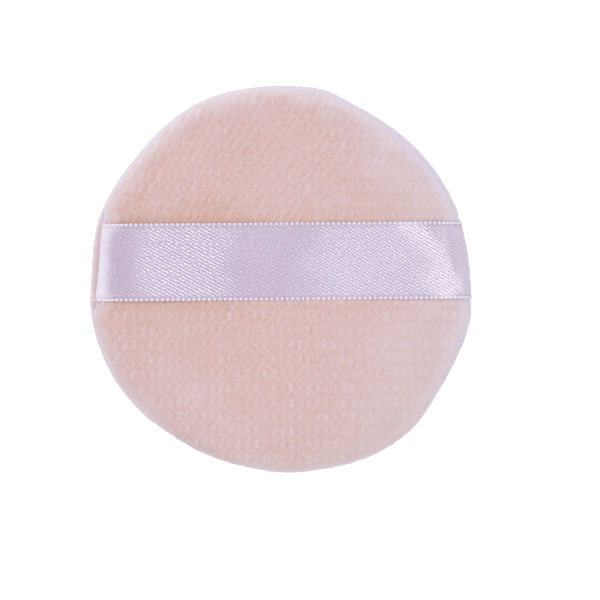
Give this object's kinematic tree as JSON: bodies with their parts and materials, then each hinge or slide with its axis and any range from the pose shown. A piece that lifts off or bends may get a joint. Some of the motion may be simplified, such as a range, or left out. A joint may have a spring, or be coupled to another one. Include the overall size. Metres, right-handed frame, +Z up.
{
  "type": "powder puff",
  "caption": "Round velour powder puff with a crowned back, a drawn-in edge seam and a satin ribbon strap across the back that a finger slips under.",
  "frame": {"origin": "on the table, under the middle of the outline's box, at the flat of the skin side", "axes": "+Z up through the back cover to the ribbon, +X along the ribbon, +Y towards the edge that the ribbon lies nearer to"},
  "size_m": [0.0798, 0.0804, 0.0134],
  "materials": {
    "velour": "short knitted pile, dusty pink",
    "satin": "woven satin ribbon, pale lilac white",
    "foam": "open-cell foam, off white",
    "thread": "spun polyester sewing thread, pink"
  },
  "bodies": {
    "puff": {"front_cover": "velour", "back_cover": "velour", "foam_core": "foam", "seam_needle_thread": "thread", "seam_bobbin_thread": "thread", "closing_thread": "thread"},
    "strap": {"ribbon_strap": "satin"}
  },
  "joints": [
    {"name": "strap_lift", "type": "slide", "parent": "puff", "child": "strap", "axis": [0, 0, 1], "range_m": [0, 0.008], "deforming": ["ribbon_strap"]}
  ]
}
